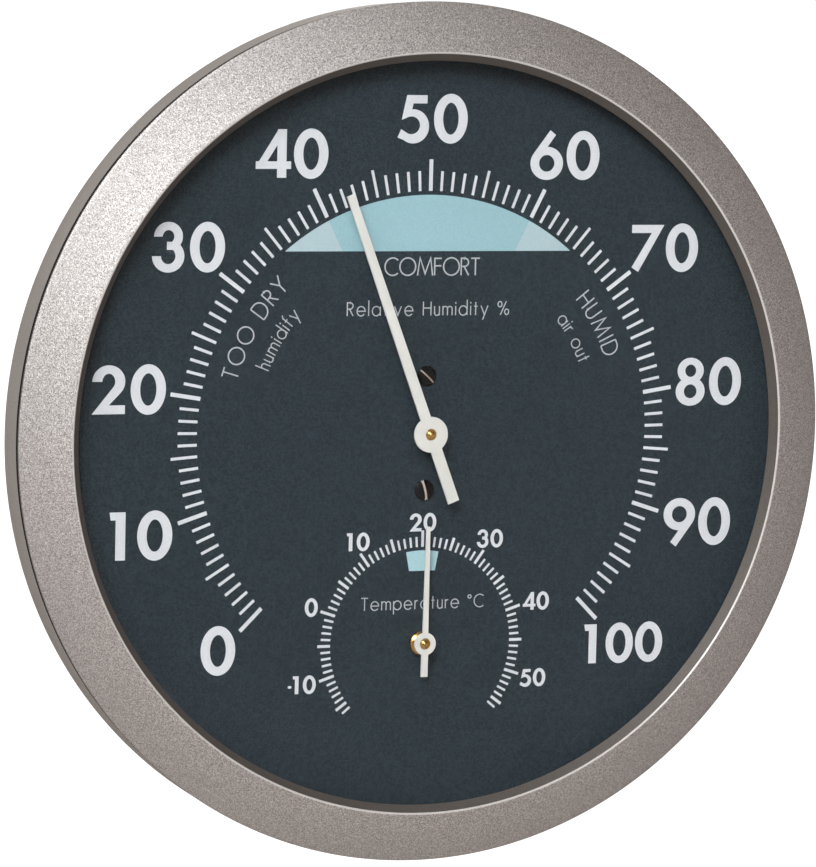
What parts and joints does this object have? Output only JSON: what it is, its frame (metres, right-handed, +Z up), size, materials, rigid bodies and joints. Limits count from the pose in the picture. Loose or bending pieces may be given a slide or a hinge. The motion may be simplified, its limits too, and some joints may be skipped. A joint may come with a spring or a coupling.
{
  "type": "dial hygrometer",
  "caption": "Round wall-hung pointer hygrometer with a small thermometer in its dial, metal ring, clear pane and vented plastic back.",
  "frame": {"origin": "on the wall plane, where the nail carries the top of the keyhole slot", "axes": "+Z up; the dial faces -Y; +Y goes into the wall; the pointers turn about axes along Y"},
  "size_m": [0.132, 0.026, 0.132],
  "materials": {
    "ring_metal": "fine granular satin, grey champagne, with a bright turned ridge",
    "band_metal": "smooth matt, warm grey",
    "cover_plastic": "fine moulded grain, black",
    "screw_steel": "plain zinc-plated",
    "clear_pane": "clear, polished",
    "spacer_plastic": "matt black",
    "dial_paint": "satin, dark blue-grey, very fine grain, printed scales",
    "pointer_paint": "satin off-white",
    "brass": "turned, bright",
    "steel": "turned",
    "dark_nickel": "dark nickel, glossy",
    "sensor_strip": "satin laminated strip",
    "bimetal": "rolled strip"
  },
  "bodies": {
    "case": {"face_ring": "ring_metal", "case_band": "band_metal", "rear_cover": "cover_plastic", "cover_screw_1": "screw_steel", "cover_screw_2": "screw_steel", "cover_screw_3": "screw_steel", "crystal": "clear_pane", "spacer_ring": "spacer_plastic", "dial_plate": "dial_paint", "dial_screw_upper": "dark_nickel", "dial_screw_lower": "dark_nickel", "movement_plate": "brass", "humidity_bush": "brass", "pillar_left": "steel", "pillar_right": "steel", "movement_bridge": "brass", "bridge_screw_left": "screw_steel", "bridge_screw_right": "screw_steel", "regulator_washer": "steel", "temperature_bush": "brass", "temperature_nut": "brass", "temperature_bracket": "steel", "bimetal_coil": "bimetal", "coil_stud": "steel"},
    "regulator": {"regulator": "brass", "humidity_coil": "sensor_strip"},
    "humidity_hand": {"humidity_spindle": "steel", "humidity_boss": "brass", "humidity_pointer": "pointer_paint", "humidity_collet": "brass"},
    "temperature_hand": {"temperature_spindle": "steel", "temperature_boss": "brass", "temperature_pointer": "pointer_paint", "temperature_collet": "brass"}
  },
  "joints": [
    {"name": "calibration_turn", "type": "hinge", "parent": "case", "child": "regulator", "pos_m": [0, 0, -0.046], "axis": [0, 1, 0], "range_deg": [-10, 10]},
    {"name": "humidity_turn", "type": "hinge", "parent": "regulator", "child": "humidity_hand", "pos_m": [0, 0, -0.046], "axis": [0, 1, 0], "range_deg": [-114, 156], "stiffness_Nm_per_rad": 0.002},
    {"name": "temperature_turn", "type": "hinge", "parent": "case", "child": "temperature_hand", "pos_m": [0, 0, -0.0783], "axis": [0, 1, 0], "range_deg": [-130, 129.2], "stiffness_Nm_per_rad": 0.001}
  ]
}
